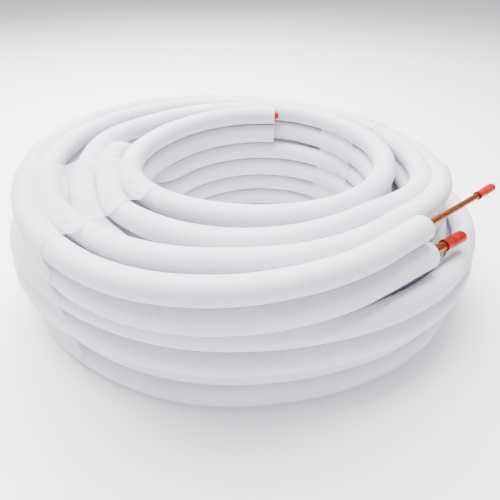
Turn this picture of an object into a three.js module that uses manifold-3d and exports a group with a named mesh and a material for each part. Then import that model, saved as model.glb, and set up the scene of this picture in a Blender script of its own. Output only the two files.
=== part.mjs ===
// Mini split line set: a coil of two insulated copper lines, held by two bands of stretch film.
// Millimetres, +Z up. The coil lies flat, and the origin is under the middle of its bounding box.
// The liquid line (1/4 inch pipe) lies on top of the suction line (3/8 inch pipe) all the way,
// and the pair is wound in columns side by side and in storeys one above the other.

import * as THREE from 'three';
import * as BufferGeometryUtils from 'three/addons/utils/BufferGeometryUtils.js';
import Module from 'manifold-3d';

const wasm = await Module();
wasm.setup();

// Driving dimensions of the lines
const liquidSleeve = 25;           // outside diameter of the liquid line's foam sleeve
const suctionSleeve = 28;          // outside diameter of the suction line's foam sleeve
const liquidPipe = 6.35;           // 1/4 inch copper
const suctionPipe = 9.52;          // 3/8 inch copper
const pipeWall = 0.8;              // wall of both pipes

// Driving dimensions of the coil
const columns = 4;                 // turns side by side
const storeys = 3;                 // pairs one above the other
const innerRadius = 138.5;         // middle of the innermost turn
const columnPitch = 29.1;          // from one turn to the next one beside it
const turnGap = 0.4;               // between one turn and the next one down
const settle = 6;                  // how far each storey below the top one has slipped inwards
const holeShiftRight = 37;         // the hole lies off the middle of the coil
const holeShiftBack = 14;
const holeStretch = 8.5;           // how much longer than wide the hole is, counted at its ends
const holeStretchTurn = 27;        // degrees round the coil, 0 at the right, 90 at the back
const outsideShift = 2.5;          // the same for the outside: its shift, oval and three soft lobes
const outsideShiftTurn = -7;
const outsideOval = 7.5;
const outsideOvalTurn = -40;
const outsideLobe = 4.7;
const outsideLobeTurn = 10;
const rightBulge = 50;             // how far the lower storeys bulge where the line ends
const rightBulgeTurn = 2;
const leftBulge = 29;              // and, over a shorter stretch, where the film is
const leftBulgeTurn = 192;

// Driving dimensions of the line ends
const outermostFrom = -42;         // where the outermost pair comes out of the column inside it
const outermostClear = -4;
const outerEndTurn = -54;          // where its outer end leaves the coil, a turn further on
const innerEndTurn = 69;
const liquidTail = 66;             // straight length of sleeve before the outer end
const suctionTail = 72;
const liquidTuck = 11;             // how far the outer ends lie inwards of their turn
const suctionTuck = 6.5;
const liquidLean = 4;              // degrees that the straight end of the liquid line turns inwards
const innerEndGap = 12;            // clear length at the inner end
const bareLiquid = 96;             // bare pipe between sleeve and cap
const bareSuction = 25;
const innerLiquidShows = 6.6;      // how far the inner caps stand out of their sleeves
const innerSuctionShows = -1;
const pipeInSleeve = 25;           // how far the pipe's own solid reaches into the sleeve
const capWall = 1.1;
const capLength = 32;
const capOnPipe = 20;

// Driving dimensions of the film bands
const filmThickness = 1;
const filmGap = 1;
const leftBandFrom = 190;          // degrees round the coil
const leftBandTo = 235;
const backBandFrom = 22.5;
const backBandTo = 45;

// Facets
const turnSteps = 48;              // steps round the coil
const tubeSides = 8;
const lobeSteps = 3;               // steps on the side of one turn
const filmLobeSteps = 3;           // steps of the film for one of the coil's

const degree = Math.PI / 180;
const liquidRadius = liquidSleeve / 2;
const suctionRadius = suctionSleeve / 2;
const outerRadius = innerRadius + columnPitch * (columns - 1);

// Levels from the floor up: suction, liquid, suction, liquid, suction, liquid
const levels = [];
for (let storey = 0; storey < storeys; storey += 1) {
  const below = levels.length ? levels.at(-1).height + levels.at(-1).radius + turnGap : 0;
  const slip = settle * (storeys - 1 - storey);
  const suctionHeight = below + suctionRadius;
  const liquidHeight = suctionHeight + suctionRadius + turnGap + liquidRadius;
  levels.push({ radius: suctionRadius, height: suctionHeight, slip });
  levels.push({ radius: liquidRadius, height: liquidHeight, slip: slip + settle / 2 });
}
const topBelow = levels.at(-3);
const topSuction = levels.at(-2);
const topLiquid = levels.at(-1);
const coilHeight = topLiquid.height + topLiquid.radius;

// A wave round the coil that is widest at a turn given in degrees
function wave(turn, waves, widest) {
  return Math.cos(waves * (turn - widest * degree));
}

// The coil is out of round: the middle lines of its inner and outer turns
function innerLine(turn) {
  const shift = holeShiftRight * Math.cos(turn) + holeShiftBack * Math.sin(turn);
  return innerRadius + shift + holeStretch * wave(turn, 2, holeStretchTurn);
}

function outerLine(turn, height) {
  const shift = outsideShift * wave(turn, 1, outsideShiftTurn);
  const oval = outsideOval * wave(turn, 2, outsideOvalTurn);
  const lobes = outsideLobe * wave(turn, 3, outsideLobeTurn);
  const right = rightBulge * Math.max(0, wave(turn, 1, rightBulgeTurn)) ** 2;
  const left = leftBulge * Math.max(0, wave(turn, 1, leftBulgeTurn)) ** 4;
  const below = THREE.MathUtils.smoothstep(-height, -topSuction.height, -topBelow.height);
  return outerRadius + shift + oval + lobes + (right + left) * below;
}

// Radius at a share of the way from the innermost turn to the outermost one
function lineAt(turn, share, height) {
  const clamped = Math.min(1, Math.max(0, share));
  return innerLine(turn) + clamped * (outerLine(turn, height) - innerLine(turn));
}

// Radius of a point of the round coil after it is eased out of round
function easedRadius(turn, radius, height) {
  const share = (radius - innerRadius) / (outerRadius - innerRadius);
  const clamped = Math.min(1, Math.max(0, share));
  const beyond = radius - innerRadius - clamped * (outerRadius - innerRadius);
  return lineAt(turn, share, height) + beyond;
}

function ease(geometry) {
  const position = geometry.attributes.position;
  for (let i = 0; i < position.count; i += 1) {
    const x = position.getX(i);
    const y = position.getY(i);
    const turn = Math.atan2(y, x);
    const radius = easedRadius(turn, Math.hypot(x, y), position.getZ(i));
    position.setXY(i, radius * Math.cos(turn), radius * Math.sin(turn));
  }
  return geometry;
}

// Solids that are joined and cut
function toSolid(geometry) {
  const bare = geometry.clone();
  bare.deleteAttribute('normal');
  bare.deleteAttribute('uv');
  const merged = BufferGeometryUtils.mergeVertices(bare, 1e-4);
  const mesh = new wasm.Mesh({
    numProp: 3,
    vertProperties: new Float32Array(merged.attributes.position.array),
    triVerts: new Uint32Array(merged.index.array),
  });
  return new wasm.Manifold(mesh);
}

function toGeometry(solid) {
  const mesh = solid.getMesh();
  const geometry = new THREE.BufferGeometry();
  geometry.setAttribute('position', new THREE.BufferAttribute(mesh.vertProperties, 3));
  geometry.setIndex(new THREE.BufferAttribute(mesh.triVerts, 1));
  geometry.computeVertexNormals();
  return geometry;
}

// Points of an arc of one turn in the section, from one angle to another in degrees
function lobe(radius, height, size, from, to, steps) {
  const points = [];
  for (let i = 0; i <= steps; i += 1) {
    const angle = (from + (to - from) * i / steps) * degree;
    points.push(new THREE.Vector2(radius + size * Math.cos(angle), height + size * Math.sin(angle)));
  }
  return points;
}

// Section of the wound body: every turn but the outermost pair of the top storey, which ends
function bodySection() {
  const points = [];
  const flat = suctionRadius * Math.tan(22.5 * degree);
  const columnRadius = (column) => innerRadius + column * columnPitch;
  // along the floor, outwards: each bottom turn has a flat where it lies on the floor
  for (let column = 0; column < columns; column += 1) {
    const slip = column === columns - 1 ? levels[0].slip : 0;
    const middle = columnRadius(column) - slip;
    if (column > 0) {
      points.push(new THREE.Vector2(middle - suctionRadius * 0.8, suctionRadius * 0.4));
    }
    points.push(new THREE.Vector2(middle - flat, 0));
    points.push(new THREE.Vector2(middle + flat, 0));
    if (column < columns - 1) {
      points.push(new THREE.Vector2(middle + suctionRadius * 0.8, suctionRadius * 0.4));
    }
  }
  // up the outside
  for (const level of levels.slice(0, -2)) {
    const from = level === levels[0] ? -45 : -65;
    points.push(...lobe(outerRadius - level.slip, level.height, level.radius, from, 65, lobeSteps));
  }
  const ledgeHeight = topSuction.height - topSuction.radius + 1;
  points.push(new THREE.Vector2(outerRadius - topBelow.slip, ledgeHeight));
  // up the outside of the top storey, one column further in
  const inset = columnRadius(columns - 2);
  points.push(new THREE.Vector2(inset + suctionRadius * 0.6, ledgeHeight));
  points.push(...lobe(inset, topSuction.height, topSuction.radius, -35, 65, lobeSteps));
  points.push(...lobe(inset, topLiquid.height, topLiquid.radius, -65, 145, lobeSteps + 2));
  // over the top, inwards
  for (let column = columns - 3; column > 0; column -= 1) {
    points.push(...lobe(columnRadius(column), topLiquid.height, topLiquid.radius, 35, 145, lobeSteps));
  }
  points.push(...lobe(innerRadius, topLiquid.height, topLiquid.radius, 35, 245, lobeSteps + 2));
  // down the inside
  for (const level of levels.slice(0, -1).reverse()) {
    const to = level === levels[0] ? 225 : 245;
    points.push(...lobe(innerRadius, level.height, level.radius, 115, to, lobeSteps));
  }
  points.push(points[0].clone());
  return points;
}

// The middle line of the outermost pair of the top storey: it comes out of the column inside
// it, goes round the coil, and ends in a straight tail.
class OutermostTurn extends THREE.Curve {
  constructor(level) {
    super();
    this.height = level.height;
    this.tuck = level === topLiquid ? liquidTuck : suctionTuck;
    this.tail = level === topLiquid ? liquidTail : suctionTail;
    this.lean = level === topLiquid ? liquidLean : 0;
    this.firstTurn = outermostFrom * degree;
    this.clearTurn = outermostClear * degree;
    this.lastTurn = (360 + outerEndTurn) * degree;
    this.tuckTurn = this.lastTurn - 60 * degree;
  }

  onCoil(turn) {
    const share = (turn - this.firstTurn) / (this.clearTurn - this.firstTurn);
    const moved = THREE.MathUtils.smoothstep(share, 0, 1);
    const column = columns - 2.1 + 1.1 * moved;
    const tucked = this.tuck * THREE.MathUtils.smoothstep(turn, this.tuckTurn, this.lastTurn);
    const radius = lineAt(turn, column / (columns - 1), this.height) - tucked;
    return new THREE.Vector3(radius * Math.cos(turn), radius * Math.sin(turn), this.height);
  }

  tailDirection() {
    const step = 0.001;
    const direction = this.onCoil(this.lastTurn).sub(this.onCoil(this.lastTurn - step));
    return direction.normalize().applyAxisAngle(new THREE.Vector3(0, 0, 1), this.lean * degree);
  }

  getPoint(t, target = new THREE.Vector3()) {
    const roundShare = 0.95;
    if (t <= roundShare) {
      const turn = this.firstTurn + (this.lastTurn - this.firstTurn) * t / roundShare;
      return target.copy(this.onCoil(turn));
    }
    const along = this.tail * (t - roundShare) / (1 - roundShare);
    return target.copy(this.onCoil(this.lastTurn)).addScaledVector(this.tailDirection(), along);
  }
}

// A round section whose flats face up, down and sideways, so that it is as wide as the real one
function roundSection(diameter, sides) {
  const corner = diameter / 2 / Math.cos(Math.PI / sides);
  const shape = new THREE.Shape();
  for (let i = 0; i < sides; i += 1) {
    const angle = (i + 0.5) * 2 * Math.PI / sides;
    const x = corner * Math.cos(angle);
    const y = corner * Math.sin(angle);
    if (i === 0) {
      shape.moveTo(x, y);
    } else {
      shape.lineTo(x, y);
    }
  }
  shape.closePath();
  return shape;
}

function sweptTurn(level) {
  const path = new OutermostTurn(level);
  const options = { steps: turnSteps, bevelEnabled: false, extrudePath: path, curveSegments: 1 };
  return new THREE.ExtrudeGeometry(roundSection(level.radius * 2, tubeSides), options);
}

// A solid or hollow round bar from a point along a level direction
function bar(from, direction, length, outside, bore = 0) {
  const section = new THREE.Shape();
  section.absarc(0, 0, outside / 2, 0, 2 * Math.PI);
  if (bore > 0) {
    const hole = new THREE.Path();
    hole.absarc(0, 0, bore / 2, 0, 2 * Math.PI, true);
    section.holes.push(hole);
  }
  const options = { depth: length, bevelEnabled: false, curveSegments: 8 };
  const geometry = new THREE.ExtrudeGeometry(section, options);
  const mesh = new THREE.Object3D();
  mesh.position.copy(from);
  mesh.lookAt(from.clone().add(direction));
  mesh.updateMatrix();
  return geometry.applyMatrix4(mesh.matrix);
}

// The frame of a line's end: where its sleeve ends and which way it points
function outerEnd(level) {
  const path = new OutermostTurn(level);
  return { point: path.getPoint(1), direction: path.tailDirection() };
}

function innerEnd(level) {
  const turn = innerEndTurn * degree;
  const radius = innerLine(turn);
  const point = new THREE.Vector3(radius * Math.cos(turn), radius * Math.sin(turn), level.height);
  // the free end points back along the winding, clockwise seen from above
  const direction = new THREE.Vector3(Math.sin(turn), -Math.cos(turn), 0);
  return { point, direction };
}

// The gap in the innermost turn of the top storey, where the lines begin
function innerEndCut() {
  const { point, direction } = innerEnd(topLiquid);
  const low = topSuction.height - topSuction.radius;
  const high = coilHeight + 5;
  const wide = columnPitch + 6;
  const box = new THREE.BoxGeometry(innerEndGap, wide, high - low);
  const turn = Math.atan2(direction.y, direction.x);
  box.rotateZ(turn);
  const middle = point.clone().addScaledVector(direction, innerEndGap / 2);
  const inwards = new THREE.Vector3(-point.x, -point.y, 0).normalize();
  middle.addScaledVector(inwards, wide / 2 - liquidRadius);
  box.translate(middle.x, middle.y, (low + high) / 2);
  return box;
}

// Outline of the film round the section of the coil, a step outside the turns
function filmOutline(grow, low) {
  const left = innerRadius - suctionRadius - grow;
  const right = outerRadius + suctionRadius + grow;
  const high = coilHeight + grow;
  const corner = suctionRadius * 0.6;
  const foot = suctionRadius * 0.4;
  const shape = new THREE.Shape();
  shape.moveTo(left + foot, low);
  shape.lineTo(right - foot, low);
  shape.lineTo(right, low + foot);
  shape.lineTo(right, topBelow.height);
  shape.lineTo(right, topSuction.height);
  shape.lineTo(right, high - corner);
  shape.lineTo(right - corner * 0.3, high - corner * 0.3);
  shape.lineTo(right - corner, high);
  shape.lineTo(left + corner, high);
  shape.lineTo(left + corner * 0.3, high - corner * 0.3);
  shape.lineTo(left, high - corner);
  shape.lineTo(left, low + foot);
  shape.closePath();
  return shape;
}

// Bends a straight length, whose third axis is the way round in radians, round the coil
function bendRound(geometry, from) {
  const position = geometry.attributes.position;
  for (let i = 0; i < position.count; i += 1) {
    const turn = from + position.getZ(i);
    const radius = easedRadius(turn, position.getX(i), position.getY(i));
    position.setXYZ(i, radius * Math.cos(turn), radius * Math.sin(turn), position.getY(i));
  }
  return outward(geometry);
}

function filmBand({ from, to }) {
  const section = filmOutline(filmGap + filmThickness, 0);
  section.holes.push(filmOutline(filmGap, filmThickness));
  const steps = Math.round((to - from) / (360 / turnSteps)) * filmLobeSteps;
  const options = { depth: (to - from) * degree, steps, bevelEnabled: false };
  return bendRound(new THREE.ExtrudeGeometry(section, options), from * degree);
}

// The turns are pressed flat where the film passes under them
function filmGroove({ from, to }) {
  const section = new THREE.Shape();
  const left = innerRadius - 2 * suctionRadius;
  const right = outerRadius + 2 * suctionRadius;
  const high = filmThickness + 0.3;
  section.moveTo(left, -1);
  section.lineTo(right, -1);
  section.lineTo(right, high);
  section.lineTo(left, high);
  section.closePath();
  const margin = 0.15;
  const depth = (to - from + 2 * margin) * degree;
  const options = { depth, steps: 8, bevelEnabled: false };
  return bendRound(new THREE.ExtrudeGeometry(section, options), (from - margin) * degree);
}

// A push-on cap with a domed end, open towards the pipe
function cap(from, direction, pipe) {
  const bore = pipe / 2 + 0.3;
  const outside = bore + capWall;
  const dome = outside * 0.6;
  const profile = [
    new THREE.Vector2(0, capOnPipe + 0.3),
    new THREE.Vector2(bore, capOnPipe + 0.3),
    new THREE.Vector2(bore, 0),
    new THREE.Vector2(outside, 0),
  ];
  for (let i = 0; i <= 3; i += 1) {
    const angle = i * 30 * degree;
    const radius = i === 3 ? 0 : outside * Math.cos(angle);
    profile.push(new THREE.Vector2(radius, capLength - dome + dome * Math.sin(angle)));
  }
  const geometry = new THREE.LatheGeometry(profile, 16);
  const placed = new THREE.Object3D();
  placed.position.copy(from);
  placed.quaternion.setFromUnitVectors(new THREE.Vector3(0, 1, 0), direction);
  placed.updateMatrix();
  return geometry.applyMatrix4(placed.matrix);
}

// Turns the faces of a closed geometry outwards where they face inwards
function outward(geometry) {
  const flat = geometry.index ? geometry.toNonIndexed() : geometry.clone();
  const position = flat.attributes.position;
  const corners = [new THREE.Vector3(), new THREE.Vector3(), new THREE.Vector3()];
  let volume = 0;
  for (let i = 0; i < position.count; i += 3) {
    corners.forEach((corner, k) => corner.fromBufferAttribute(position, i + k));
    volume += corners[0].dot(corners[1].clone().cross(corners[2]));
  }
  if (volume > 0) {
    return flat;
  }
  for (let i = 0; i < position.count; i += 3) {
    corners.forEach((corner, k) => corner.fromBufferAttribute(position, i + k));
    position.setXYZ(i + 1, corners[2].x, corners[2].y, corners[2].z);
    position.setXYZ(i + 2, corners[1].x, corners[1].y, corners[1].z);
  }
  return flat;
}

const foam = { color: 0xe9e9ed, roughness: 0.55, metalness: 0 };
const copper = { color: 0xc7825a, roughness: 0.32, metalness: 1 };
const redPlastic = { color: 0xd42a2a, roughness: 0.3, metalness: 0 };
const film = { color: 0xf2f4f6, roughness: 0.12, metalness: 0, transparent: true, opacity: 0.3 };

const coil = new THREE.Group();

function add(name, geometry, look) {
  const mesh = new THREE.Mesh(geometry, new THREE.MeshStandardMaterial(look));
  mesh.name = name;
  coil.add(mesh);
}

// The two insulated lines, wound and touching, are one turned body with its two ends
function woundLines(cuts) {
  const lathe = new THREE.LatheGeometry(bodySection(), turnSteps).rotateX(Math.PI / 2);
  let solid = toSolid(outward(ease(lathe)));
  solid = solid.add(toSolid(outward(sweptTurn(topSuction))));
  solid = solid.add(toSolid(outward(sweptTurn(topLiquid))));
  solid = solid.subtract(toSolid(innerEndCut()));
  for (const cut of cuts) {
    solid = solid.subtract(toSolid(outward(cut)));
  }
  return toGeometry(solid);
}

const innerLiquidBare = innerLiquidShows - capLength;
const innerSuctionBare = innerSuctionShows - capLength;
const lineEnds = [
  { name: 'liquid_outer', end: outerEnd(topLiquid), pipe: liquidPipe, bare: bareLiquid },
  { name: 'suction_outer', end: outerEnd(topSuction), pipe: suctionPipe, bare: bareSuction },
  { name: 'liquid_inner', end: innerEnd(topLiquid), pipe: liquidPipe, bare: innerLiquidBare },
  { name: 'suction_inner', end: innerEnd(topSuction), pipe: suctionPipe, bare: innerSuctionBare },
];

const filmBands = [
  { name: 'film_band_left', from: leftBandFrom, to: leftBandTo },
  { name: 'film_band_back', from: backBandFrom, to: backBandTo },
];

// Where a pipe's own solid starts, counted from the end of the sleeve
function pipeStart(bare) {
  return Math.min(bare, 0) - pipeInSleeve;
}

const cuts = filmBands.map(filmGroove);
for (const { end, pipe, bare } of lineEnds) {
  const from = pipeStart(bare) - 0.3;
  const start = end.point.clone().addScaledVector(end.direction, from);
  cuts.push(bar(start, end.direction, 5 - from, pipe + 0.6));
  if (bare < 0) {
    const capStart = end.point.clone().addScaledVector(end.direction, bare - 0.3);
    cuts.push(bar(capStart, end.direction, 5 - bare, pipe + 2 * capWall + 1.2));
  }
}

add('insulated_line_coil', woundLines(cuts), foam);
for (const { name, end, pipe, bare } of lineEnds) {
  const from = pipeStart(bare);
  const start = end.point.clone().addScaledVector(end.direction, from);
  const length = bare + capOnPipe - from;
  add(`${name}_pipe`, outward(bar(start, end.direction, length, pipe, pipe - 2 * pipeWall)), copper);
  const capStart = end.point.clone().addScaledVector(end.direction, bare);
  add(`${name}_cap`, outward(cap(capStart, end.direction, pipe)), redPlastic);
}
for (const band of filmBands) {
  add(band.name, filmBand(band), film);
}

// The origin goes under the middle of the bounding box
const bounds = new THREE.Box3().setFromObject(coil);
const middle = bounds.getCenter(new THREE.Vector3());
coil.position.set(-middle.x, -middle.y, 0);
coil.updateMatrixWorld(true);

export default coil;
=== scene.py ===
import math
from bisect import bisect_right

import bpy
from mathutils import Matrix, Vector, noise


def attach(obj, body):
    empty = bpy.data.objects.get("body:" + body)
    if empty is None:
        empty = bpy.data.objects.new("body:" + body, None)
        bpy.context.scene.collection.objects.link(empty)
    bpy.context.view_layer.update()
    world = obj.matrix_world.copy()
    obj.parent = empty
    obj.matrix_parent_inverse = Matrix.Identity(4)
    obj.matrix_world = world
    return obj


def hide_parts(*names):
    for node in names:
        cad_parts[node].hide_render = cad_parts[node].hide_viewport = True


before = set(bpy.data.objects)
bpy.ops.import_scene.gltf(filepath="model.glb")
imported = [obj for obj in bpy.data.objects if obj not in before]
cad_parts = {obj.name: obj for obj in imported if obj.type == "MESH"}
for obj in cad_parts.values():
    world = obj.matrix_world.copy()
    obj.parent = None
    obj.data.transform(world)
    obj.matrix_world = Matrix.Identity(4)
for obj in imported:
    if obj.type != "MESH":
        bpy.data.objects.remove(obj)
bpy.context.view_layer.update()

bl_info = {
    "name": "Mini split line set coil",
    "version": (1, 0, 0),
    "blender": (4, 5, 0),
    "location": "View3D > Sidebar > Line set",
    "description": "Dresses a coil of two insulated copper lines with foam, copper, caps and film",
    "category": "Object",
}

# Sizes that are given in millimetres are turned to metres
MM = 0.001

# The coil's own middle, counted from the origin under the middle of the whole part
COIL_MIDDLE = Vector((-16.127, 0.756, 0.0)) * MM

# Ring shape, as in the solids: middle lines of the innermost and outermost turns
INNER_RADIUS = 138.5 * MM
COLUMN_PITCH = 29.1 * MM
LAST_COLUMN = 3
OUTER_RADIUS = INNER_RADIUS + LAST_COLUMN * COLUMN_PITCH
HOLE_SHIFT_RIGHT = 37 * MM
HOLE_SHIFT_BACK = 14 * MM
HOLE_STRETCH = 8.5 * MM
HOLE_STRETCH_TURN = 27
OUTSIDE_SHIFT = 2.5 * MM
OUTSIDE_SHIFT_TURN = -7
OUTSIDE_OVAL = 7.5 * MM
OUTSIDE_OVAL_TURN = -40
OUTSIDE_LOBE = 4.7 * MM
OUTSIDE_LOBE_TURN = 10
RIGHT_BULGE = 50 * MM
RIGHT_BULGE_TURN = 2
LEFT_BULGE = 29 * MM
LEFT_BULGE_TURN = 192
SETTLE = 6 * MM
TURN_GAP = 0.4 * MM

# Line ends, as in the solids
INNER_END_TURN = 69
TAILS = {"liquid": 66 * MM, "suction": 72 * MM}
TUCKS = {"liquid": 11 * MM, "suction": 6.5 * MM}
LEANS = {"liquid": 4.0, "suction": 0.0}
BARE = {"liquid": 96 * MM, "suction": 25 * MM}
INNER_SHOWS = {"liquid": 6.6 * MM, "suction": -1 * MM}
CAP_LENGTH = 32 * MM
CAP_ON_PIPE = 20 * MM
CAP_WALL = 1.1 * MM
PIPE_IN_SLEEVE = 25 * MM

# Play of a push-on cap round its pipe, and of the pipe in its sleeve
CAP_PLAY = 0.3 * MM
SLEEVE_PLAY = 0.25 * MM

# Height at which the lowest turns are pressed flat by the floor
FLAT_HEIGHT = 0.3 * MM

# How the pair is wound, from the inner end to the outer one. Each row is a turn in degrees
# counted on and on, the column from 0 at the hole to 3 outside, and the storey from 0 to 2.
WINDING = (
    (69, 0.0, 2), (120, 0.0, 2), (200, 0.12, 2), (260, 0.0, 2), (382, 0.0, 2),
    (425, 1.0, 2), (450, 1.0, 2), (490, 1.1, 2), (525, 1.4, 2), (545, 1.38, 2),
    (562, 1.5, 2), (590, 1.7, 1.75), (640, 1.9, 1), (690, 2.0, 1),
    (870, 2.0, 1), (905, 3.0, 1), (1220, 3.0, 1), (1250, 3.0, 0),
    (1580, 3.0, 0), (1612, 2.0, 0), (1940, 2.0, 0), (1972, 1.0, 0), (2300, 1.0, 0),
    (2332, 0.0, 0), (2655, 0.0, 0), (2695, 0.0, 1), (3015, 0.0, 1), (3050, 1.0, 1),
    (3370, 1.0, 1), (3415, 0.78, 2), (3440, 0.78, 2), (3475, 1.05, 2), (3519, 1.13, 2), (3558, 1.0, 2),
    (3590, 2.0, 2), (3620, 2.05, 2), (3690, 2.0, 2), (3790, 2.5, 2), (3808, 2.42, 2), (3835, 2.15, 2),
    (3879, 1.9, 2), (3918, 1.95, 2), (3954, 3.0, 2), (3965, 3.15, 1.95), (4000, 3.1, 1.93),
    (4060, 3.0, 1.95), (4130, 3.0, 2), (4239, 2.95, 2), (4266, 3.0, 2),
)

# Steps of the meshes
STEP_ALONG = 7 * MM
SLEEVE_SIDES = 24
PIPE_STEP = 4 * MM
PIPE_SIDES = 32
CAP_SIDES = 40
CAP_DOME_STEPS = 10
FILM_STEPS = 60
FILM_SIDES = 260
FILM_TUBE_SIDES = 40

# Name of the uv map that runs along and round each tube, in metres
UV_MAP = "along_and_round"

# Film bands: where each starts and ends round the coil, in degrees
FILM_BANDS = {
    "film_band_left": (190.0, 235.0),
    "film_band_back": (22.5, 45.0),
}

# How far the film lies off the foam, how much of a gap between tubes it sags into, and how far
FILM_CLEAR = 0.7 * MM
FILM_SAG_SHARE = 0.55
FILM_SAG_LIMIT = 5 * MM
FILM_WALL = 0.12 * MM

# Middle of the coil's section, from which the film's creases stand outwards
SECTION_RADIUS = 190 * MM
SECTION_HEIGHT = 80 * MM

# Camera of the photograph, counted from the coil's middle
CAMERA_PLACE = Vector((26.17, -433.46, 349.18)) * MM
CAMERA_DOWN = 37.45
CAMERA_ROLL = 0.78
CAMERA_FOCUS = 400.45
PHOTO_WIDTH = 500


def wave(turn, waves, widest):
    """A wave round the coil that is widest at a turn given in degrees."""
    return math.cos(waves * (turn - math.radians(widest)))


def smooth(low, high, value):
    """A smooth step from 0 to 1 between two values."""
    share = min(1.0, max(0.0, (value - low) / (high - low)))
    return share * share * (3 - 2 * share)


def sizes():
    """The line's sizes, as set in the scene."""
    return bpy.context.scene.line_set_sizes


def finishes():
    """The colours of the finishes, as set in the scene."""
    return bpy.context.scene.line_set_finishes


def sleeve_radius(line):
    """Outside radius of a line's foam sleeve."""
    diameter = sizes().liquid_sleeve if line == "liquid" else sizes().suction_sleeve
    return diameter / 2


def pipe_radius(line):
    """Outside radius of a line's copper pipe."""
    diameter = sizes().liquid_pipe if line == "liquid" else sizes().suction_pipe
    return diameter / 2


def line_height(line, storey):
    """Height of a line's middle in a storey, the suction line below the liquid line."""
    suction = sleeve_radius("suction")
    liquid = sleeve_radius("liquid")
    pair = 2 * (suction + liquid + TURN_GAP)
    base = suction + storey * pair
    return base if line == "suction" else base + suction + TURN_GAP + liquid


def inner_line(turn):
    """Radius of the turn round the hole, which lies off the middle and is a little long."""
    shift = HOLE_SHIFT_RIGHT * math.cos(turn) + HOLE_SHIFT_BACK * math.sin(turn)
    return INNER_RADIUS + shift + HOLE_STRETCH * wave(turn, 2, HOLE_STRETCH_TURN)


def outer_line(turn, height):
    """Radius of the outermost turn, with the bulges of the lower storeys."""
    shift = OUTSIDE_SHIFT * wave(turn, 1, OUTSIDE_SHIFT_TURN)
    oval = OUTSIDE_OVAL * wave(turn, 2, OUTSIDE_OVAL_TURN)
    lobes = OUTSIDE_LOBE * wave(turn, 3, OUTSIDE_LOBE_TURN)
    right = RIGHT_BULGE * max(0.0, wave(turn, 1, RIGHT_BULGE_TURN)) ** 2
    left = LEFT_BULGE * max(0.0, wave(turn, 1, LEFT_BULGE_TURN)) ** 4
    above = smooth(line_height("liquid", 1), line_height("suction", 2), height)
    return OUTER_RADIUS + shift + oval + lobes + (right + left) * (1 - above)


def winding_at(degrees):
    """Column and storey of the pair after so many degrees of winding."""
    for low, high in zip(WINDING, WINDING[1:]):
        if degrees <= high[0]:
            share = smooth(low[0], high[0], degrees)
            column = low[1] + share * (high[1] - low[1])
            storey = low[2] + share * (high[2] - low[2])
            return column, storey
    return WINDING[-1][1], WINDING[-1][2]


def place_on_coil(line, degrees):
    """A point of a line's middle, counted from the coil's middle."""
    turn = math.radians(degrees)
    column, storey = winding_at(degrees)
    height = line_height(line, storey)
    inner = inner_line(turn)
    share = column / LAST_COLUMN
    radius = inner + share * (outer_line(turn, height) - inner)
    below = 2 - storey + (0.5 if line == "liquid" and storey < 2 else 0.0)
    radius -= SETTLE * below * max(0.0, share - 0.5) * 2
    last = WINDING[-1][0]
    radius -= TUCKS[line] * smooth(last - 60, last, degrees)
    return Vector((radius * math.cos(turn), radius * math.sin(turn), height))


def outer_tail(line):
    """Where a line's straight outer end starts, and which way it points."""
    last = WINDING[-1][0]
    start = place_on_coil(line, last)
    direction = (start - place_on_coil(line, last - 0.05)).normalized()
    direction.z = 0
    direction.rotate(Matrix.Rotation(math.radians(LEANS[line]), 3, "Z"))
    return start, direction.normalized()


def inner_end(line):
    """Where a line's inner end is cut, and which way it points."""
    turn = math.radians(INNER_END_TURN)
    point = place_on_coil(line, WINDING[0][0])
    return point, Vector((math.sin(turn), -math.cos(turn), 0))


def outer_end(line):
    """Where a line's outer end is cut, and which way it points."""
    start, direction = outer_tail(line)
    return start + direction * TAILS[line], direction


def evenly(points, step):
    """The same path with its points a step apart."""
    lengths = [0.0]
    for low, high in zip(points, points[1:]):
        lengths.append(lengths[-1] + (high - low).length)
    count = max(2, round(lengths[-1] / step))
    even = []
    at = 0
    for i in range(count + 1):
        want = lengths[-1] * i / count
        while at < len(points) - 2 and lengths[at + 1] < want:
            at += 1
        span = lengths[at + 1] - lengths[at]
        even.append(points[at].lerp(points[at + 1], (want - lengths[at]) / span))
    return even


def line_path(line):
    """The whole middle line of a line, from its inner end to its outer one."""
    first, last = WINDING[0][0], WINDING[-1][0]
    count = (last - first) * 2
    points = [place_on_coil(line, first + i / 2) for i in range(count + 1)]
    start, direction = outer_tail(line)
    steps = 20
    points += [start + direction * TAILS[line] * i / steps for i in range(1, steps + 1)]
    return [point + COIL_MIDDLE for point in evenly(points, STEP_ALONG)]


def deselect_all():
    """Leaves any edit mode and clears the selection."""
    if bpy.context.object and bpy.context.object.mode != "OBJECT":
        bpy.ops.object.mode_set(mode="OBJECT")
    bpy.ops.object.select_all(action="DESELECT")


def only(piece):
    """Selects one object alone and makes it the active one."""
    deselect_all()
    piece.select_set(True)
    bpy.context.view_layer.objects.active = piece


def to_linear(value):
    """One sRGB value from 0 to 255 as a linear one from 0 to 1."""
    value = value / 255
    return value / 12.92 if value <= 0.04045 else ((value + 0.055) / 1.055) ** 2.4


def colour(code):
    """A hex colour as the linear values that a shader takes."""
    parts = [int(code[i:i + 2], 16) for i in (1, 3, 5)]
    return tuple(to_linear(part) for part in parts) + (1.0,)


def add_node(tree, kind, settings=None, inputs=None):
    """Adds a node; an input is a value, or the output of another node."""
    node = tree.nodes.new(kind)
    for name, value in (settings or {}).items():
        setattr(node, name, value)
    for name, value in (inputs or {}).items():
        if isinstance(value, bpy.types.NodeSocket):
            tree.links.new(value, node.inputs[name])
        else:
            node.inputs[name].default_value = value
    return node


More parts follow.
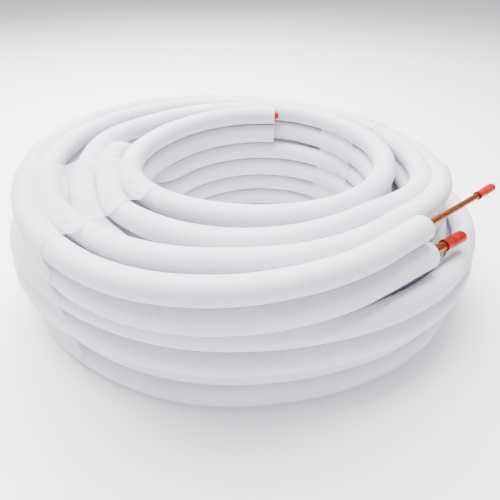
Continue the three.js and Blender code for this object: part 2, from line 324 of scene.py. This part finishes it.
def new_material(name, **surface):
    """A material with a plain surface shader, and its node tree and shader."""
    material = bpy.data.materials.new(name)
    material.use_nodes = True
    tree = material.node_tree
    shader = tree.nodes["Principled BSDF"]
    for socket, value in surface.items():
        shader.inputs[socket.replace("_", " ")].default_value = value
    return material, tree, shader


def ramp(tree, factor, stops):
    """A colour ramp through stops of (place, hex colour)."""
    node = add_node(tree, "ShaderNodeValToRGB", inputs={"Fac": factor})
    elements = node.color_ramp.elements
    while len(elements) < len(stops):
        elements.new(0.5)
    for element, (place, code) in zip(elements, stops):
        element.position = place
        element.color = colour(code)
    return node.outputs["Color"]


def foam_material():
    """White polyethylene foam, extruded, with a skin that is embossed by a roller: soft, dull,
    a little see-through, with fine rows of dimples along and round the tube."""
    material, tree, shader = new_material("embossed_polyethylene_foam", Roughness=0.55, IOR=1.45)
    shader.inputs["Subsurface Weight"].default_value = 0.03
    shader.inputs["Subsurface Radius"].default_value = (0.004, 0.004, 0.004)
    shader.inputs["Subsurface Scale"].default_value = 1.0
    uv = add_node(tree, "ShaderNodeUVMap", {"uv_map": UV_MAP})
    place = add_node(tree, "ShaderNodeTexCoord")
    # rows of dimples about 2 mm apart, drawn a little coarser than the real 1.6 mm
    spacing = 2.0 * MM
    scale = 2 * math.pi / (20 * spacing)
    rows = []
    for direction in ("X", "Y"):
        settings = {"wave_type": "BANDS", "bands_direction": direction, "wave_profile": "SIN"}
        inputs = {"Vector": uv.outputs["UV"], "Scale": scale, "Distortion": 0.0}
        rows.append(add_node(tree, "ShaderNodeTexWave", settings, inputs).outputs["Fac"])
    # the rings round the tube stand out more than the rows along it
    weak = add_node(tree, "ShaderNodeMath", {"operation": "MULTIPLY"}, {0: rows[1], 1: 0.3})
    dimples = add_node(tree, "ShaderNodeMath", {"operation": "MULTIPLY_ADD"}, {
        0: rows[0], 1: 0.7, 2: weak.outputs["Value"]})
    dents = add_node(tree, "ShaderNodeTexNoise", inputs={
        "Vector": place.outputs["Object"], "Scale": 45.0, "Detail": 3.0, "Roughness": 0.55})
    soft = add_node(tree, "ShaderNodeBump", inputs={
        "Height": dents.outputs["Fac"], "Strength": 0.35, "Distance": 1.2 * MM})
    fine = add_node(tree, "ShaderNodeBump", inputs={
        "Height": dimples.outputs["Value"], "Strength": 0.9, "Distance": 0.35 * MM,
        "Normal": soft.outputs["Normal"]})
    tree.links.new(fine.outputs["Normal"], shader.inputs["Normal"])
    cloud = add_node(tree, "ShaderNodeTexNoise", inputs={
        "Vector": place.outputs["Object"], "Scale": 9.0, "Detail": 4.0, "Roughness": 0.6})
    tint = ramp(tree, cloud.outputs["Fac"], ((0.3, finishes().foam_shade), (0.7, finishes().foam)))
    # the dimple rows are also multiplied into the colour: painted shade in the hollows of the emboss
    shaded = add_node(tree, "ShaderNodeMix", {"data_type": "RGBA", "blend_type": "MULTIPLY"}, {
        "Factor": 0.2, "A": tint, "B": dimples.outputs["Value"]})
    tree.links.new(shaded.outputs["Result"], shader.inputs["Base Color"])
    return material


def copper_material():
    """Soft drawn copper pipe, bright, with fine lines along it and warm darker patches."""
    material, tree, shader = new_material("drawn_copper", Metallic=1.0, Roughness=0.34)
    uv = add_node(tree, "ShaderNodeUVMap", {"uv_map": UV_MAP})
    stretched = add_node(tree, "ShaderNodeMapping", inputs={
        "Vector": uv.outputs["UV"], "Scale": (30.0, 900.0, 1.0)})
    lines = add_node(tree, "ShaderNodeTexNoise", inputs={
        "Vector": stretched.outputs["Vector"], "Scale": 1.0, "Detail": 3.0})
    patches = add_node(tree, "ShaderNodeTexNoise", inputs={
        "Vector": uv.outputs["UV"], "Scale": 90.0, "Detail": 4.0, "Roughness": 0.65})
    stops = ((0.32, finishes().copper_dark), (0.55, finishes().copper), (0.75, finishes().copper_light))
    tree.links.new(ramp(tree, patches.outputs["Fac"], stops), shader.inputs["Base Color"])
    rough = add_node(tree, "ShaderNodeMapRange", inputs={
        "Value": lines.outputs["Fac"], "To Min": 0.26, "To Max": 0.46})
    tree.links.new(rough.outputs["Result"], shader.inputs["Roughness"])
    bump = add_node(tree, "ShaderNodeBump", inputs={
        "Height": lines.outputs["Fac"], "Strength": 0.25, "Distance": 0.05 * MM})
    tree.links.new(bump.outputs["Normal"], shader.inputs["Normal"])
    return material


def cap_material():
    """Soft red vinyl of a dip-moulded push-on cap: glossy, with slow ripples in its skin."""
    material, tree, shader = new_material("dip_moulded_red_vinyl", Roughness=0.42, IOR=1.45)
    shader.inputs["Specular IOR Level"].default_value = 0.2
    place = add_node(tree, "ShaderNodeTexCoord")
    ripples = add_node(tree, "ShaderNodeTexNoise", inputs={
        "Vector": place.outputs["Object"], "Scale": 160.0, "Detail": 2.0})
    stops = ((0.35, finishes().cap_dark), (0.6, finishes().cap))
    tree.links.new(ramp(tree, ripples.outputs["Fac"], stops), shader.inputs["Base Color"])
    bump = add_node(tree, "ShaderNodeBump", inputs={
        "Height": ripples.outputs["Fac"], "Strength": 0.3, "Distance": 0.25 * MM})
    tree.links.new(bump.outputs["Normal"], shader.inputs["Normal"])
    return material


def film_material():
    """Clear stretch film, several layers, blown and pulled tight: glossy, wrinkled across."""
    material, tree, shader = new_material("clear_stretch_film", Roughness=0.2, IOR=1.5)
    shader.inputs["Base Color"].default_value = colour(finishes().film)
    shader.inputs["Alpha"].default_value = 0.26
    uv = add_node(tree, "ShaderNodeUVMap", {"uv_map": UV_MAP})
    stretched = add_node(tree, "ShaderNodeMapping", inputs={
        "Vector": uv.outputs["UV"], "Rotation": (0.0, 0.0, 0.35), "Scale": (22.0, 75.0, 1.0)})
    wrinkles = add_node(tree, "ShaderNodeTexNoise", inputs={
        "Vector": stretched.outputs["Vector"], "Scale": 1.0, "Detail": 4.0, "Distortion": 0.6})
    bump = add_node(tree, "ShaderNodeBump", inputs={
        "Height": wrinkles.outputs["Fac"], "Strength": 1.0, "Distance": 1.6 * MM})
    tree.links.new(bump.outputs["Normal"], shader.inputs["Normal"])
    return material


def material_named(make):
    """Makes a material once and gives it to every piece that asks for it."""
    made = finishes().get(make.__name__)
    if made is None:
        made = make().name
        finishes()[make.__name__] = made
    return bpy.data.materials[made]


def finish_piece(piece, make_material, slot, *nodes):
    """Gives a piece its material and its place in the frame."""
    piece.data.materials.clear()
    piece.data.materials.append(material_named(make_material))
    only(piece)
    bpy.ops.object.shade_smooth_by_angle(angle=math.radians(50))
    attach(piece, "root")
    if nodes:
        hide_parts(*nodes)


def add_piece(name, mesh):
    """Puts a mesh in the scene as a new object, selected alone."""
    piece = bpy.data.objects.new(name, mesh)
    bpy.context.scene.collection.objects.link(piece)
    only(piece)
    return piece


def face_outwards():
    """Turns all faces of the active piece outwards."""
    bpy.ops.object.mode_set(mode="EDIT")
    bpy.ops.mesh.select_all(action="SELECT")
    bpy.ops.mesh.normals_make_consistent(inside=False)
    bpy.ops.object.mode_set(mode="OBJECT")


def ring_frame(path, i):
    """The direction of a path at a point, and the two directions across it."""
    low, high = path[max(0, i - 1)], path[min(len(path) - 1, i + 1)]
    along = (high - low).normalized()
    side = Vector((0, 0, 1)).cross(along).normalized()
    return along, side, along.cross(side)


def soft_radius(radius, point, spread=0.35 * MM):
    """The radius of soft foam, a little uneven from place to place."""
    return radius - spread + spread * noise.noise(point * 28)


def sweep(name, path, sides, radius_at, start_rings, end_rings):
    """A closed tube along a path. The end rings are (distance along, radius) pairs that close
    each end, and the last one is filled. The uv map is in metres along and round the tube."""
    rings = []
    first, last = path[0], path[-1]
    along, side, across = ring_frame(path, 0)
    for offset, radius in reversed(start_rings):
        rings.append((first + along * offset, side, across, radius, -offset))
    travelled = 0.0
    for i, point in enumerate(path):
        if i:
            travelled += (point - path[i - 1]).length
        _, side, across = ring_frame(path, i)
        rings.append((point, side, across, None, travelled))
    along, side, across = ring_frame(path, len(path) - 1)
    for offset, radius in end_rings:
        rings.append((last + along * offset, side, across, radius, travelled + offset))
    mesh = bpy.data.meshes.new(name)
    vertices = []
    for centre, side, across, radius, _ in rings:
        for k in range(sides):
            angle = 2 * math.pi * k / sides
            outward = side * math.cos(angle) + across * math.sin(angle)
            size = radius if radius is not None else radius_at(centre, outward)
            vertices.append(centre + outward * size)
    faces = []
    uvs = []
    round_step = 2 * math.pi * 12.5 * MM / sides
    for i in range(len(rings) - 1):
        for k in range(sides):
            following = (k + 1) % sides
            a, b = i * sides, (i + 1) * sides
            faces.append((a + k, a + following, b + following, b + k))
            u0, u1 = rings[i][4], rings[i + 1][4]
            v0, v1 = k * round_step, (k + 1) * round_step
            uvs += [(u0, v0), (u0, v1), (u1, v1), (u1, v0)]
    top = (len(rings) - 1) * sides
    faces.append(tuple(range(sides - 1, -1, -1)))
    faces.append(tuple(range(top, top + sides)))
    uvs += [(0.0, 0.0)] * (2 * sides)
    mesh.from_pydata(vertices, [], faces)
    layer = mesh.uv_layers.new(name=UV_MAP)
    for loop, uv in zip(layer.data, uvs):
        loop.uv = uv
    piece = add_piece(name, mesh)
    face_outwards()
    return piece


def sleeve_end_rings(line, bore, deep, sign):
    """Rings that round the cut end of a sleeve over and lead into its bore."""
    radius = sleeve_radius(line)
    edge = 0.8 * MM
    return [
        (0.0, radius - 0.6 * edge),
        (sign * 0.35 * edge, radius - edge),
        (sign * 0.35 * edge, bore + edge),
        (0.0, bore),
        (-sign * deep, bore),
    ]


def make_sleeve(line):
    """A line's foam sleeve, swept along its whole winding, with a bore at each cut end."""
    radius = sleeve_radius(line)
    cap_outside = pipe_radius(line) + CAP_PLAY + CAP_WALL
    cap_room = CAP_LENGTH - INNER_SHOWS[line] + 1 * MM
    start = sleeve_end_rings(line, cap_outside + 0.4 * MM, cap_room, -1)
    end = sleeve_end_rings(line, pipe_radius(line) + SLEEVE_PLAY, PIPE_IN_SLEEVE + 1 * MM, 1)

    def size(centre, outward):
        point = centre + outward * radius
        grown = soft_radius(radius, point)
        # a turn on the floor is pressed flat where it lies
        if outward.z < 0 and centre.z + outward.z * grown < FLAT_HEIGHT:
            grown = (centre.z - FLAT_HEIGHT) / -outward.z
        return grown

    return sweep(f"{line}_line_foam_sleeve", line_path(line), SLEEVE_SIDES, size, start, end)


def straight_path(point, direction, start, end, step):
    """Points a step apart on a straight line, from one distance along it to another."""
    count = max(2, round((end - start) / step))
    return [point + direction * (start + (end - start) * i / count) for i in range(count + 1)]


def make_pipe(line, name, point, direction, bare):
    """A length of copper pipe with its wall and bore, from inside the sleeve to inside the cap."""
    radius = pipe_radius(line)
    bore = radius - sizes().pipe_wall
    start = min(bare, 0.0) - PIPE_IN_SLEEVE
    end = bare + CAP_ON_PIPE
    path = straight_path(point + COIL_MIDDLE, direction, start, end, PIPE_STEP)
    deep = 8 * MM
    closing = [(0.0, bore), (deep, bore)]
    ending = [(0.0, bore), (-deep, bore)]

    def size(centre, outward):
        return radius - 0.06 * MM + 0.06 * MM * noise.noise(centre * 60)

    return sweep(name, path, PIPE_SIDES, size, closing, ending)


def make_cap(line, name, point, direction, bare):
    """A push-on cap, spun from the outline of its wall: a rolled lip, a body and a round end."""
    bore = pipe_radius(line) + CAP_PLAY
    outside = bore + CAP_WALL
    lip = 0.25 * MM
    dome = outside * 0.75
    outline = [
        (0.0, CAP_ON_PIPE + CAP_PLAY),
        (bore, CAP_ON_PIPE + CAP_PLAY),
        (bore, 0.0),
        (bore + 0.3 * CAP_WALL, 0.0),
        (outside - lip, 0.1 * MM),
        (outside, 0.7 * MM),
        (outside, 2.2 * MM),
        (outside - 0.35 * MM, 3.2 * MM),
        (outside - 0.35 * MM, 8 * MM),
        (outside - 0.1 * MM, 12 * MM),
    ]
    for i in range(CAP_DOME_STEPS + 1):
        angle = math.pi / 2 * i / CAP_DOME_STEPS
        outline.append((outside * math.cos(angle), CAP_LENGTH - dome + dome * math.sin(angle)))
    outline[-1] = (0.0, CAP_LENGTH)
    mesh = bpy.data.meshes.new(name)
    edges = [(i, i + 1) for i in range(len(outline) - 1)]
    mesh.from_pydata([(x, 0.0, z) for x, z in outline], edges, [])
    piece = add_piece(name, mesh)
    bpy.ops.object.mode_set(mode="EDIT")
    bpy.ops.mesh.select_all(action="SELECT")
    bpy.ops.mesh.spin(steps=CAP_SIDES, angle=2 * math.pi, center=(0, 0, 0), axis=(0, 0, 1))
    bpy.ops.mesh.select_all(action="SELECT")
    bpy.ops.mesh.remove_doubles(threshold=0.01 * MM)
    bpy.ops.object.mode_set(mode="OBJECT")
    face_outwards()
    turned = direction.to_track_quat("Z", "Y").to_matrix().to_4x4()
    start = point + COIL_MIDDLE + direction * bare
    piece.matrix_world = Matrix.Translation(start) @ turned
    bpy.ops.object.transform_apply(location=True, rotation=True, scale=True)
    return piece


def line_ends():
    """Every line end: its line, name, point, direction and length of bare pipe."""
    for line in ("liquid", "suction"):
        point, direction = outer_end(line)
        yield line, f"{line}_outer", point, direction, BARE[line]
        point, direction = inner_end(line)
        yield line, f"{line}_inner", point, direction, INNER_SHOWS[line] - CAP_LENGTH


def tubes_across(turn_degrees):
    """The tubes that a cut at one turn meets: radius from the middle, height and size."""
    tubes = []
    first, last = WINDING[0][0], WINDING[-1][0]
    degrees = turn_degrees
    while degrees < last:
        if degrees >= first:
            for line in ("liquid", "suction"):
                place = place_on_coil(line, degrees)
                tubes.append((math.hypot(place.x, place.y), place.z, sleeve_radius(line)))
        degrees += 360
    return tubes


def hull(points):
    """The convex outline round flat points, anticlockwise."""
    points = sorted(set(points))
    halves = []
    for ordered in (points, points[::-1]):
        half = []
        for point in ordered:
            while len(half) > 1 and turning(half[-2], half[-1], point) <= 0:
                half.pop()
            half.append(point)
        halves.append(half[:-1])
    return halves[0] + halves[1]


def turning(a, b, c):
    """Positive where the way from a over b to c turns to the left."""
    return (b[0] - a[0]) * (c[1] - a[1]) - (b[1] - a[1]) * (c[0] - a[0])


def film_section(turn_degrees, count):
    """The film's outline at one turn: stretched over the tubes, and sagging between them."""
    tubes = tubes_across(turn_degrees)
    around = []
    for radius, height, size in tubes:
        for k in range(FILM_TUBE_SIDES):
            angle = 2 * math.pi * k / FILM_TUBE_SIDES
            x = radius + (size + FILM_CLEAR) * math.cos(angle)
            z = height + (size + FILM_CLEAR) * math.sin(angle)
            around.append((x, max(z, 0.4 * MM)))
    middle = Vector((sum(tube[0] for tube in tubes) / len(tubes), SECTION_HEIGHT))
    section = []
    for point in rays_to(hull(around), middle, count):
        gap = min((point - Vector((r, z))).length - size for r, z, size in tubes)
        if point.y > 2 * MM:
            sag = max(0.0, min(FILM_SAG_SHARE * (gap - FILM_CLEAR), FILM_SAG_LIMIT))
            point = point + (middle - point).normalized() * sag
        section.append(point)
    return section


def rays_to(outline, middle, count):
    """Points of a convex outline in evenly spread directions from its middle."""
    outline = [Vector(corner) for corner in outline]
    turns = [math.atan2(corner.y - middle.y, corner.x - middle.x) for corner in outline]
    first = turns.index(min(turns))
    outline = outline[first:] + outline[:first + 1]
    turns = turns[first:] + turns[:first] + [min(turns) + 2 * math.pi]
    points = []
    for k in range(count):
        want = turns[0] + 2 * math.pi * k / count
        at = min(bisect_right(turns, want), len(turns) - 1)
        low, high = outline[at - 1], outline[at]
        ray = Vector((math.cos(want), math.sin(want)))
        normal = Vector((high.y - low.y, low.x - high.x))
        points.append(middle + ray * ((low - middle).dot(normal) / ray.dot(normal)))
    return points


def make_film(name, start, end):
    """One band of film, made as a thin shell round the section of the coil."""
    vertices = []
    uvs = []
    for i in range(FILM_STEPS + 1):
        share = i / FILM_STEPS
        section = film_section(start + (end - start) * share, FILM_SIDES)
        for k, point in enumerate(section):
            # the edges of the band run a little unevenly
            low = start + 1.5 + 1.5 * noise.noise(Vector((k * 0.09, 3.0, 0.0)))
            high = end - 1.5 - 1.5 * noise.noise(Vector((k * 0.09, 9.0, 0.0)))
            degrees = low + (high - low) * share
            turn = math.radians(degrees)
            crease = noise.noise(Vector((degrees * 0.35, k * 0.12, 1.7)))
            crease += 0.6 * noise.noise(Vector((degrees * 1.3, k * 0.05 - degrees * 0.2, 5.0)))
            shift = 0.5 * MM * crease
            outward = Vector((point.x - SECTION_RADIUS, point.y - SECTION_HEIGHT)).normalized()
            if point.y > 4 * MM:
                point = point + outward * max(shift, -0.2 * MM)
            place = Vector((point.x * math.cos(turn), point.x * math.sin(turn), point.y))
            vertices.append(place + COIL_MIDDLE)
            uvs.append((point.x * turn, k * 2.6 * MM))
    faces = []
    for i in range(FILM_STEPS):
        for k in range(FILM_SIDES):
            following = (k + 1) % FILM_SIDES
            a, b = i * FILM_SIDES, (i + 1) * FILM_SIDES
            faces.append((a + k, b + k, b + following, a + following))
    mesh = bpy.data.meshes.new(name)
    mesh.from_pydata(vertices, [], faces)
    layer = mesh.uv_layers.new(name=UV_MAP)
    for loop in mesh.loops:
        layer.data[loop.index].uv = uvs[loop.vertex_index]
    piece = add_piece(name, mesh)
    face_outwards()
    thick = piece.modifiers.new("wall", "SOLIDIFY")
    thick.thickness = FILM_WALL
    thick.offset = -1
    bpy.ops.object.modifier_apply(modifier=thick.name)
    return piece


class LINESET_sizes(bpy.types.PropertyGroup):
    """Sizes of the two lines."""
    liquid_sleeve: bpy.props.FloatProperty(
        name="Liquid sleeve", description="Outside diameter of the liquid line's foam",
        default=25 * MM, unit="LENGTH")
    suction_sleeve: bpy.props.FloatProperty(
        name="Suction sleeve", description="Outside diameter of the suction line's foam",
        default=28 * MM, unit="LENGTH")
    liquid_pipe: bpy.props.FloatProperty(
        name="Liquid pipe", description="Outside diameter of the liquid line's copper, 1/4 inch",
        default=6.35 * MM, unit="LENGTH")
    suction_pipe: bpy.props.FloatProperty(
        name="Suction pipe", description="Outside diameter of the suction line's copper, 3/8 inch",
        default=9.52 * MM, unit="LENGTH")
    pipe_wall: bpy.props.FloatProperty(
        name="Pipe wall", description="Wall of both pipes", default=0.8 * MM, unit="LENGTH")


class LINESET_finishes(bpy.types.PropertyGroup):
    """Colours of the foam, copper, caps and film, as sRGB hex values."""
    foam: bpy.props.StringProperty(
        name="Foam", description="Colour of the foam", default="#EBECF3")
    foam_shade: bpy.props.StringProperty(
        name="Foam shade", description="Colour of the foam's duller places", default="#E4E4EC")
    copper: bpy.props.StringProperty(
        name="Copper", description="Colour of the copper", default="#A65A30")
    copper_light: bpy.props.StringProperty(
        name="Light copper", description="Colour of the copper's bright places", default="#C07A4A")
    copper_dark: bpy.props.StringProperty(
        name="Dark copper", description="Colour of the copper's dull places", default="#8A4A28")
    cap: bpy.props.StringProperty(
        name="Cap", description="Colour of the caps", default="#A80204")
    cap_dark: bpy.props.StringProperty(
        name="Dark cap", description="Colour of the caps' deeper places", default="#8C0106")
    film: bpy.props.StringProperty(
        name="Film", description="Colour of the stretch film", default="#F4F6F8")
    floor: bpy.props.StringProperty(
        name="Floor", description="Colour of the floor", default="#FBFBFC")


class LINESET_OT_sleeves(bpy.types.Operator):
    """Makes the foam sleeves of both lines, wound from the inner end to the outer one"""
    bl_idname = "lineset.sleeves"
    bl_label = "Foam sleeves"

    def execute(self, context):
        for line in ("liquid", "suction"):
            piece = make_sleeve(line)
            finish_piece(piece, foam_material, "insulation_foam", "insulated_line_coil")
        return {"FINISHED"}


class LINESET_OT_pipes(bpy.types.Operator):
    """Makes the copper that shows at the ends of the lines"""
    bl_idname = "lineset.pipes"
    bl_label = "Copper pipes"

    def execute(self, context):
        for line, name, point, direction, bare in line_ends():
            piece = make_pipe(line, f"{name}_copper", point, direction, bare)
            finish_piece(piece, copper_material, "copper", f"{name}_pipe")
        return {"FINISHED"}


class LINESET_OT_caps(bpy.types.Operator):
    """Makes the red push-on caps"""
    bl_idname = "lineset.caps"
    bl_label = "Red caps"

    def execute(self, context):
        for line, name, point, direction, bare in line_ends():
            piece = make_cap(line, f"{name}_red_cap", point, direction, bare)
            finish_piece(piece, cap_material, "red_cap", f"{name}_cap")
        return {"FINISHED"}


class LINESET_OT_film(bpy.types.Operator):
    """Makes the bands of stretch film round the coil"""
    bl_idname = "lineset.film"
    bl_label = "Stretch film"

    def execute(self, context):
        for node, (start, end) in FILM_BANDS.items():
            piece = make_film(f"{node}_wrap", start, end)
            finish_piece(piece, film_material, "stretch_film", node)
        return {"FINISHED"}


class LINESET_OT_camera(bpy.types.Operator):
    """Puts the camera where the photograph was taken from"""
    bl_idname = "lineset.camera"
    bl_label = "Camera"

    def execute(self, context):
        down = math.radians(CAMERA_DOWN)
        bpy.ops.object.camera_add(location=CAMERA_PLACE + COIL_MIDDLE)
        camera = context.object
        camera.rotation_mode = "XYZ"
        level = Matrix.Rotation(math.pi / 2 - down, 3, "X")
        rolled = level @ Matrix.Rotation(math.radians(CAMERA_ROLL), 3, "Z")
        camera.rotation_euler = rolled.to_euler()
        camera.data.sensor_width = 36
        camera.data.lens = 36 * CAMERA_FOCUS / PHOTO_WIDTH
        camera.data.clip_start = 0.01
        context.scene.camera = camera
        return {"FINISHED"}


class LINESET_OT_stage(bpy.types.Operator):
    """Makes the pale floor and the soft studio light"""
    bl_idname = "lineset.stage"
    bl_label = "Stage"

    def execute(self, context):
        deselect_all()
        bpy.ops.mesh.primitive_plane_add(size=12, location=(0, 0, -0.0005))
        floor = context.object
        floor.name = "pale_floor"
        material, _, shader = new_material("pale_floor_paint", Roughness=0.9)
        shader.inputs["Base Color"].default_value = colour(finishes().floor)
        shader.inputs["Specular IOR Level"].default_value = 0.1
        floor.data.materials.append(material)
        lamps = (
            ("top_light", (-0.3, 0.5, 1.5), (0, 0, 0), 1.5, 165.0),
            ("front_light", (0.5, -1.7, 1.2), (0, 0, 0.05), 1.4, 16.0),
            ("left_light", (-1.5, -0.3, 0.9), (0, 0, 0.08), 1.0, 3.0),
        )
        for name, place, target, size, power in lamps:
            bpy.ops.object.light_add(type="AREA", location=place)
            lamp = context.object
            lamp.name = name
            lamp.data.size = size
            lamp.data.energy = power
            aim = Vector(target) - Vector(place)
            lamp.rotation_euler = aim.to_track_quat("-Z", "Y").to_euler()
        world = bpy.data.worlds.new("studio")
        context.scene.world = world
        world.use_nodes = True
        background = world.node_tree.nodes["Background"]
        background.inputs["Color"].default_value = colour("#F4F5FA")
        background.inputs["Strength"].default_value = 0.8
        return {"FINISHED"}


class LINESET_PT_panel(bpy.types.Panel):
    """Lists the steps that make the coil"""
    bl_idname = "LINESET_PT_panel"
    bl_label = "Line set"
    bl_space_type = "VIEW_3D"
    bl_region_type = "UI"
    bl_category = "Line set"

    def draw(self, context):
        for group in (context.scene.line_set_sizes, context.scene.line_set_finishes):
            for name in group.__annotations__:
                self.layout.prop(group, name)
        for step in STEPS:
            self.layout.operator(step.bl_idname)


STEPS = (
    LINESET_OT_camera,
    LINESET_OT_sleeves,
    LINESET_OT_pipes,
    LINESET_OT_caps,
    LINESET_OT_film,
    LINESET_OT_stage,
)
CLASSES = (LINESET_sizes, LINESET_finishes, *STEPS, LINESET_PT_panel)


def register():
    for each in CLASSES:
        bpy.utils.register_class(each)
    bpy.types.Scene.line_set_sizes = bpy.props.PointerProperty(type=LINESET_sizes)
    bpy.types.Scene.line_set_finishes = bpy.props.PointerProperty(type=LINESET_finishes)


def unregister():
    del bpy.types.Scene.line_set_finishes
    del bpy.types.Scene.line_set_sizes
    for each in reversed(CLASSES):
        bpy.utils.unregister_class(each)


def main():
    register()
    bpy.ops.lineset.camera()
    bpy.ops.lineset.sleeves()
    bpy.ops.lineset.pipes()
    bpy.ops.lineset.caps()
    bpy.ops.lineset.film()
    bpy.ops.lineset.stage()


if __name__ == "__main__":
    main()
